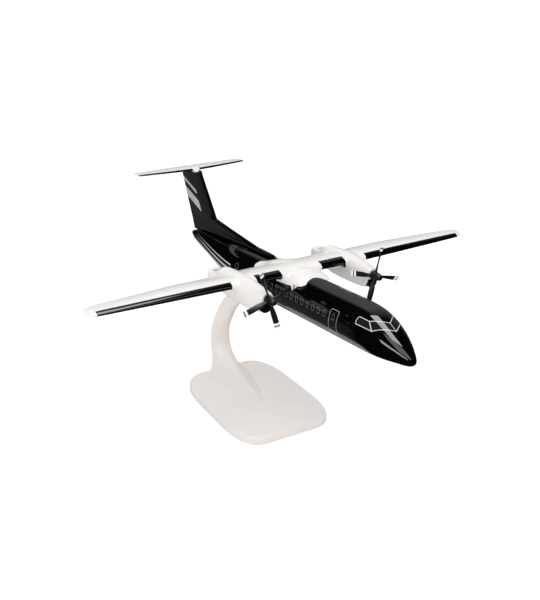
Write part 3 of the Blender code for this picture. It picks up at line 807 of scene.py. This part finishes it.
class Finish:
    """A procedural material: layers of paint over a moulded plastic."""

    def __init__(self, name, color, roughness, grain, grain_size):
        self.material = bpy.data.materials.new(name)
        self.material.use_nodes = True
        self.tree = self.material.node_tree
        self.nodes = self.tree.nodes
        self.shader = self.nodes["Principled BSDF"]
        self.shader.inputs["IOR"].default_value = 1.5
        coordinates = self.nodes.new("ShaderNodeTexCoord")
        mapping = self.nodes.new("ShaderNodeMapping")
        mapping.vector_type = "TEXTURE"
        mapping.inputs["Location"].default_value = (0.0, -NOSE_AHEAD, AXIS_HEIGHT)
        mapping.inputs["Rotation"].default_value = (-PITCH, 0.0, 0.0)
        mapping.inputs["Scale"].default_value = (MM, MM, MM)
        self.tree.links.new(coordinates.outputs["Object"], mapping.inputs["Vector"])
        self.point = mapping.outputs["Vector"]
        split = self.nodes.new("ShaderNodeSeparateXYZ")
        self.tree.links.new(self.point, split.inputs[0])
        self.x, self.y, self.z = (Field(self.tree, socket) for socket in split.outputs)
        self.out = self.x.size()
        darker = tuple(channel * MOTTLE_SHADE for channel in color)
        self.color = self.mix(self.cloud(MOTTLE_SCALE), (*darker, 1.0), (*color, 1.0))
        self.roughness = self.cloud(SHEEN_SCALE) * (SHEEN_RANGE * roughness) + SHEEN_LEAST * roughness
        self.height = self.cloud(grain_size) * grain

    def cloud(self, scale):
        """Soft random patches, from 0 to 1, with about scale of them to the millimetre."""
        noise = self.nodes.new("ShaderNodeTexNoise")
        noise.inputs["Scale"].default_value = scale
        noise.inputs["Detail"].default_value = 2.0
        self.tree.links.new(self.point, noise.inputs["Vector"])
        return Field(self.tree, noise.outputs["Fac"])

    def mix(self, mask, under, over):
        node = self.nodes.new("ShaderNodeMix")
        node.data_type = "RGBA"
        feed(self.tree, node.inputs["Factor"], mask)
        for socket, value in ((node.inputs[6], under), (node.inputs[7], over)):
            if isinstance(value, tuple):
                socket.default_value = value
            else:
                self.tree.links.new(value, socket)
        return node.outputs[2]

    def paint(self, mask, color, roughness):
        self.color = self.mix(mask, self.color, (*color, 1.0))
        self.roughness = self.roughness + (self.roughness * -1.0 + roughness) * mask

    def groove(self, mask, depth):
        self.height = self.height - mask * depth

    def box(self, along, up, half_along, half_up, radius):
        """Distance to a rounded box about the origin of two fields."""
        a = along.size() - (half_along - radius)
        b = up.size() - (half_up - radius)
        corner = a.most(0.0).squared() + b.most(0.0).squared()
        return corner.calc("SQRT") + a.most(b).least(0.0) - radius

    def patch(self, corners, outward):
        """Distance to a flat-sided patch whose corners lie round it, mirrored to both sides."""
        corners = [Vector(corner) for corner in corners]
        outward = Vector(outward)
        middle = sum(corners, Vector()) / len(corners)
        join = self.nodes.new("ShaderNodeCombineXYZ")
        for socket, value in zip(join.inputs, (self.out, self.y, self.z)):
            feed(self.tree, socket, value)
        result = None
        for a, b in zip(corners, corners[1:] + corners[:1]):
            across = (b - a).cross(outward).normalized()
            if across.dot(middle - a) > 0.0:
                across = -across
            dot = self.nodes.new("ShaderNodeVectorMath")
            dot.operation = "DOT_PRODUCT"
            self.tree.links.new(join.outputs[0], dot.inputs[0])
            dot.inputs[1].default_value = across
            side = Field(self.tree, dot.outputs["Value"]) - across.dot(a)
            result = side if result is None else result.calc("SMOOTH_MAX", side, PANE_SOFTNESS)
        return result

    def done(self):
        bump = self.nodes.new("ShaderNodeBump")
        bump.inputs["Strength"].default_value = 1.0
        bump.inputs["Distance"].default_value = MM
        feed(self.tree, bump.inputs["Height"], self.height)
        self.tree.links.new(self.color, self.shader.inputs["Base Color"])
        feed(self.tree, self.shader.inputs["Roughness"], self.roughness)
        self.tree.links.new(bump.outputs["Normal"], self.shader.inputs["Normal"])
        return self.material


def paint_windows(finish, sides):
    """A rounded outline round each side window, and a ring round the one at the back."""
    nearest = ((finish.y - WINDOW_FIRST_Y) / WINDOW_PITCH).calc("ROUND")
    nearest = nearest.most(0.0).least(WINDOW_COUNT - 1.0)
    along = finish.y - WINDOW_FIRST_Y - nearest * WINDOW_PITCH
    window = finish.box(along, finish.z - WINDOW_Z, *WINDOW_HALF, WINDOW_ROUND)
    finish.paint(window.line(WINDOW_LINE) * sides, *LINE)
    aft, up, radius = REAR_WINDOW
    rear = ((finish.y - aft).squared() + (finish.z - up).squared()).calc("SQRT") - radius
    finish.paint(rear.line(FINE_LINE) * sides, *LINE)


def paint_door(finish, sides):
    """The door's outline, with a window and a handle in it."""
    middle, level = DOOR
    along = finish.y - middle + (finish.z - level) * DOOR_LEAN
    door = finish.box(along, finish.z - level, *DOOR_HALF, DOOR_ROUND)
    finish.paint(door.line(DOOR_EDGE) * sides, *DOOR_LINE)
    aft, height, *shape = DOOR_WINDOW
    window = finish.box(along - aft, finish.z - height, *shape)
    finish.paint(window.line(FINE_LINE) * sides, *LINE)
    aft, height, *shape = DOOR_HANDLE
    handle = finish.box(along - aft, finish.z - height, *shape)
    finish.paint(handle.inside() * sides, *LINE)


def paint_windscreen(finish):
    """Dark panes, each in a pale frame."""
    panes = [finish.patch(corners, faces) for corners, faces in WINDSCREEN]
    finish.paint(panes[0].least(panes[1]).inside(), *GLASS)
    frames = either(*[pane.line(FRAME_HALF) for pane in panes])
    finish.paint(frames * finish.y.below(FRAME_TO_Y) * finish.z.above(FRAME_FROM_Z), *FRAME)


def paint_tail(finish):
    """Plain silver sweeps along the rear fuselage, thinner towards the tail, and bands on the fin."""
    aft = finish.y - SWEEP_FROM
    for start, climb, widest in SWEEPS:
        half = aft * (-widest / SWEEP_LENGTH) + widest
        level = (finish.z - aft * climb - start).size() - half
        front = aft * -1.0 + (finish.z - start) * SWEEP_SLANT + SWEEP_FRONT
        finish.paint(level.inside() * front.inside() * aft.below(SWEEP_LENGTH), *SILVER)
    front = (finish.z - FIN_FOOT_Z) * FIN_BAND_SLANT + FIN_BAND_FRONT_Y - finish.y
    for height, half in FIN_BANDS:
        band = finish.z - (finish.y - FIN_BAND_Y) * FIN_BAND_CLIMB - height
        finish.paint(band.line(half) * front.inside(), *SILVER)


def black_finish():
    finish = Finish("gloss_black", BLACK, roughness=0.06, grain=0.0006, grain_size=0.5)
    sides = finish.out.above(SIDE_FROM)
    paint_windows(finish, sides)
    paint_door(finish, sides)
    paint_windscreen(finish)
    paint_tail(finish)
    # Hinge line of the rudder
    foot, top = RUDDER_HINGE_Z
    hinge = finish.y - (finish.z - FIN_FOOT_Z) * RUDDER_HINGE_SLANT - RUDDER_HINGE_Y
    hinge = hinge.line(RUDDER_HINGE_HALF) * finish.z.above(foot) * finish.z.below(top)
    finish.groove(hinge, RUDDER_HINGE_DEPTH)
    return finish.done()


def paint_boots(finish):
    """De-icing boots round the wing's leading edge."""
    outboard = (finish.out - SWEPT_FROM).most(0.0)
    back = finish.y - outboard * WING_SWEEP - WING_LEADING_Y
    up = finish.z + outboard * WING_DROOP - WING_LEADING_Z
    boots = []
    for start, end, depth in (INNER_BOOT, OUTER_BOOT):
        span = (finish.out - (start + end) / 2.0).line((end - start) / 2.0)
        boots.append(span * back.below(depth))
    boots = either(*boots) * back.above(-BOOT_AHEAD) * up.line(BOOT_REACH)
    finish.paint(boots, *BOOT_BLACK)
    # The mould's parting line shows on the right wing's boots
    # A painted highlight: a thin grey line along the right wing's boots, standing in for a lamp's reflection
    # on the glossy leading edge
    painted_highlight = up - (finish.out - HIGHLIGHT_LEVEL_FROM).least(0.0) * HIGHLIGHT_FALL - HIGHLIGHT_HEIGHT
    finish.paint(painted_highlight.line(HIGHLIGHT_HALF) * finish.x.below(-HIGHLIGHT_FROM) * boots, *BOOT_HIGHLIGHT)


def groove_flaps(finish):
    """Hinge line of the control surfaces and the cuts between them, on top of the wing."""
    top = finish.z.above(FLAP_GROOVES_FROM_Z)
    hinge = finish.y - FLAP_HINGE_Y + (finish.out - FLAP_TAPER_FROM).most(0.0) * FLAP_TAPER
    span = finish.out.above(FLAP_ENDS[0]) * finish.out.below(FLAP_ENDS[-1])
    finish.groove(hinge.line(GROOVE_HALF, GROOVE_EDGE) * span * top, FLAP_HINGE_DEPTH)
    cuts = either(*[(finish.out - end).line(GROOVE_HALF, GROOVE_EDGE) for end in FLAP_ENDS])
    finish.groove(cuts * finish.y.above(FLAP_CUTS_FROM_Y) * top, CUT_DEPTH)


def white_finish():
    finish = Finish("gloss_white", WHITE, roughness=0.22, grain=0.003, grain_size=1.2)
    paint_boots(finish)
    # Painted shade: black on the white nacelle front under the spinner, between the hub and the chin intake
    across = (finish.out - INTAKE["x"]).line(HUB_SHADE_HALF)
    finish.paint(across * finish.y.below(HUB_SHADE_TO_Y) * finish.z.below(HUB_SHADE_TO_Z), *UNDER_HUB_SHADE)
    groove_flaps(finish)
    return finish.done()


def tail_finish():
    finish = Finish("tail_white", WHITE, roughness=0.22, grain=0.003, grain_size=1.2)
    # The leading edge sweeps at one angle as far as the kink, and at another from there on
    (root_out, root_y), (kink_out, kink_y), (tip_out, tip_y) = (row[:2] for row in TAIL_STATIONS[:3])
    inner = finish.out.least(kink_out) * ((kink_y - root_y) / (kink_out - root_out))
    outer = (finish.out - kink_out).most(0.0) * ((tip_y - kink_y) / (tip_out - kink_out))
    leading = inner + outer + root_y
    start, end, depth = TAIL_BOOT
    boot = (finish.y - leading).below(depth) * finish.out.above(start) * finish.out.below(end)
    finish.paint(boot, *BOOT_BLACK)
    hinge = (finish.y - ELEVATOR_HINGE_Y).line(GROOVE_HALF, GROOVE_EDGE)
    finish.groove(hinge * finish.out.below(ELEVATOR_TO), CUT_DEPTH)
    return finish.done()


def propeller_finish(side):
    finish = Finish("propeller_black", PROPELLER_BLACK, roughness=0.42, grain=0.004, grain_size=2.0)
    across = finish.x - side * NACELLE_X
    radius = (across.squared() + (finish.z - THRUST_Z).squared()).calc("SQRT")
    finish.paint(either(radius.above(TIP_FROM), (radius - TIP_RING).line(TIP_RING_HALF)), *TIP_WHITE)
    return finish.done()


def stand_finish():
    return Finish("stand_ivory", IVORY, roughness=0.36, grain=0.006, grain_size=2.5).done()


# Painted shade: the near black floor of each exhaust and intake pocket stands in for the dark inside of the
# opening
def opening_shade_finish():
    return Finish("opening", OPENING_SHADE, roughness=0.6, grain=0.01, grain_size=2.0).done()


def make_camera():
    data = bpy.data.cameras.new("camera")
    data.lens = CAMERA_LENS
    data.sensor_width = CAMERA_SENSOR
    data.clip_start = 10.0 * MM
    data.clip_end = 20.0
    camera = bpy.data.objects.new("camera", data)
    bpy.context.scene.collection.objects.link(camera)
    turned = Matrix.Rotation(CAMERA_AZIMUTH, 4, "Z")
    turned = turned @ Matrix.Rotation(math.pi / 2 - CAMERA_ELEVATION, 4, "X")
    turned = turned @ Matrix.Rotation(CAMERA_ROLL, 4, "Z")
    back = Matrix.Translation(CAMERA_OFFSET + Vector((0.0, 0.0, CAMERA_DISTANCE)))
    camera.matrix_world = AIRFRAME @ Matrix.Translation(CAMERA_TARGET) @ turned @ back
    bpy.context.scene.camera = camera


def make_floor():
    bm = bmesh.new()
    bmesh.ops.create_grid(bm, x_segments=1, y_segments=1, size=FLOOR_HALF)
    mesh = bpy.data.meshes.new("floor")
    bm.to_mesh(mesh)
    bm.free()
    floor = bpy.data.objects.new("floor", mesh)
    material = bpy.data.materials.new("floor")
    material.use_nodes = True
    shader = material.node_tree.nodes["Principled BSDF"]
    shader.inputs["Base Color"].default_value = FLOOR_WHITE
    shader.inputs["Roughness"].default_value = 0.9
    shader.inputs["Specular IOR Level"].default_value = 0.1
    shader.inputs["Emission Color"].default_value = PURE_WHITE
    shader.inputs["Emission Strength"].default_value = FLOOR_GLOW
    mesh.materials.append(material)
    bpy.context.scene.collection.objects.link(floor)
    floor.visible_glossy = False


def make_panel(name, place, aim, size, radiance, diffuse):
    """A soft panel that shines from place towards aim, with a given brightness to the eye."""
    data = bpy.data.lights.new(name, "AREA")
    data.shape = "RECTANGLE"
    data.size, data.size_y = size
    data.energy = radiance * math.pi * size[0] * size[1]
    light = bpy.data.objects.new(name, data)
    bpy.context.scene.collection.objects.link(light)
    light.location = place
    light.rotation_euler = (Vector(aim) - Vector(place)).to_track_quat("-Z", "Y").to_euler()
    light.visible_camera = False
    light.visible_diffuse = diffuse


def make_world():
    """White to the camera, an even soft light on matt surfaces, and a dark studio in reflections."""
    world = bpy.data.worlds.new("studio")
    bpy.context.scene.world = world
    world.use_nodes = True
    tree = world.node_tree
    coordinates = tree.nodes.new("ShaderNodeTexCoord")
    split = tree.nodes.new("ShaderNodeSeparateXYZ")
    tree.links.new(coordinates.outputs["Generated"], split.inputs[0])
    right, back, up = (Field(tree, socket) for socket in split.outputs)
    wall = up.most(0.0).squared() * WALL_RISE + WALL_LEAST
    wall = wall * right.ramp(*WALL_RIGHT) * back.ramp(*WALL_BACK) * up.ramp(*WALL_UP)
    ground = up.ramp(*GROUND_DOWN) * back.ramp(*GROUND_BACK) * GROUND_GLOW
    glow = wall.most(ground) + DARK_GLOW
    ambient = up.most(AMBIENT_LOWEST) * AMBIENT_RISE + AMBIENT_LEVEL
    path = tree.nodes.new("ShaderNodeLightPath")
    camera = Field(tree, path.outputs["Is Camera Ray"])
    glossy = Field(tree, path.outputs["Is Glossy Ray"])
    diffuse = Field(tree, path.outputs["Is Diffuse Ray"])
    background = tree.nodes["Background"]
    feed(tree, background.inputs["Strength"], camera + glossy * glow + diffuse * ambient)
    background.inputs["Color"].default_value = PURE_WHITE
    world.cycles.sampling_method = "NONE"


def make_lighting():
    make_world()
    for panel in PANELS:
        make_panel(*panel)
    bpy.context.scene.view_settings.view_transform = "Standard"


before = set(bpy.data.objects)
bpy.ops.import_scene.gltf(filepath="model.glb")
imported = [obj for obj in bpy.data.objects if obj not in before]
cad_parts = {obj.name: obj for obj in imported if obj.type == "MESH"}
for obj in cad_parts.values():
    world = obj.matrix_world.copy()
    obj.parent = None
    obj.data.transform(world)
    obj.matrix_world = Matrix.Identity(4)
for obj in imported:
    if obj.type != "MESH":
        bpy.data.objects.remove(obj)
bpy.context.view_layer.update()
make_camera()
make_floor()
make_lighting()

black = black_finish()
white = white_finish()
tail_white = tail_finish()
ivory = stand_finish()
dark = opening_shade_finish()

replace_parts(piece("skin_fuselage", fuselage(), black), "fuselage")
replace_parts(piece("skin_fin", fin(), black, sharp=30.0), "fin")
tail_skin = joined([tailplane(), bullet()])
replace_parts(piece("skin_tailplane", tail_skin, tail_white), "tailplane")
wing_skin = piece("skin_wing", shell(), white, sharp=60.0)
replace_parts(wing_skin, "wing", "nacelle_left", "nacelle_right")
for label, side in (("left", 1), ("right", -1)):
    name = "propeller_" + label
    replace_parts(piece("skin_" + name, propeller(side), propeller_finish(side), name), name)
    for opening in ("exhaust_", "intake_"):
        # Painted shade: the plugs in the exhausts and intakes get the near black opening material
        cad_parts[opening + label].data.materials[0] = dark
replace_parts(piece("skin_base", stand_base(), ivory), "stand_base")
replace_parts(piece("skin_arm", stand_arm(), ivory), "stand_arm")
